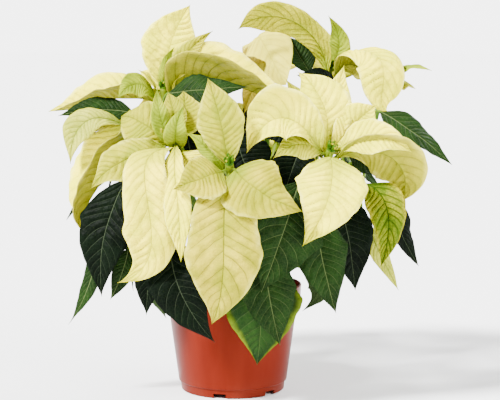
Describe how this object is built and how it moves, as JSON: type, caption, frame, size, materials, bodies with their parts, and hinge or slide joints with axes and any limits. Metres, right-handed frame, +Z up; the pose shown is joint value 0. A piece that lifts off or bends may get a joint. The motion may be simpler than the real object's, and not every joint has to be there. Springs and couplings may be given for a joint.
{
  "type": "potted poinsettia",
  "caption": "Bushy cream-bracted poinsettia with dark green leaves, standing in a tapered terracotta-coloured plastic nursery pot filled with soil.",
  "frame": {"origin": "centre of the pot's underside, on the surface it stands on", "axes": "+Z up along the pot's axis, -Y towards the side that the picture shows, +X to that view's right"},
  "size_m": [0.3791, 0.3351, 0.3651],
  "materials": {
    "terracotta_plastic": "semi-gloss moulded plastic",
    "potting_soil": "loose dark potting mix",
    "woody_stem": "dull green-brown bark",
    "leaf_green": "waxy leaf",
    "cream_bract": "soft matt bract",
    "flower_green": "fleshy"
  },
  "bodies": {
    "root": {"bracts_back_left": "cream_bract", "bracts_back_right": "cream_bract", "bracts_front_centre": "cream_bract", "bracts_front_left": "cream_bract", "bracts_front_right": "cream_bract", "bracts_left": "cream_bract", "bracts_right": "cream_bract", "bracts_top_back": "cream_bract", "bracts_top_left": "cream_bract", "bracts_top_right": "cream_bract", "flowers_back_left": "flower_green", "flowers_back_right": "flower_green", "flowers_front_centre": "flower_green", "flowers_front_left": "flower_green", "flowers_front_right": "flower_green", "flowers_left": "flower_green", "flowers_right": "flower_green", "flowers_top_back": "flower_green", "flowers_top_left": "flower_green", "flowers_top_right": "flower_green", "leafy_stem_back_left": "leaf_green", "leafy_stem_back_right": "leaf_green", "leafy_stem_front_centre": "leaf_green", "leafy_stem_front_left": "leaf_green", "leafy_stem_front_right": "leaf_green", "leafy_stem_left": "leaf_green", "leafy_stem_right": "leaf_green", "leafy_stem_top_back": "leaf_green", "leafy_stem_top_left": "leaf_green", "leafy_stem_top_right": "leaf_green", "main_stem": "woody_stem", "pot": "terracotta_plastic", "soil": "potting_soil"}
  },
  "joints": []
}
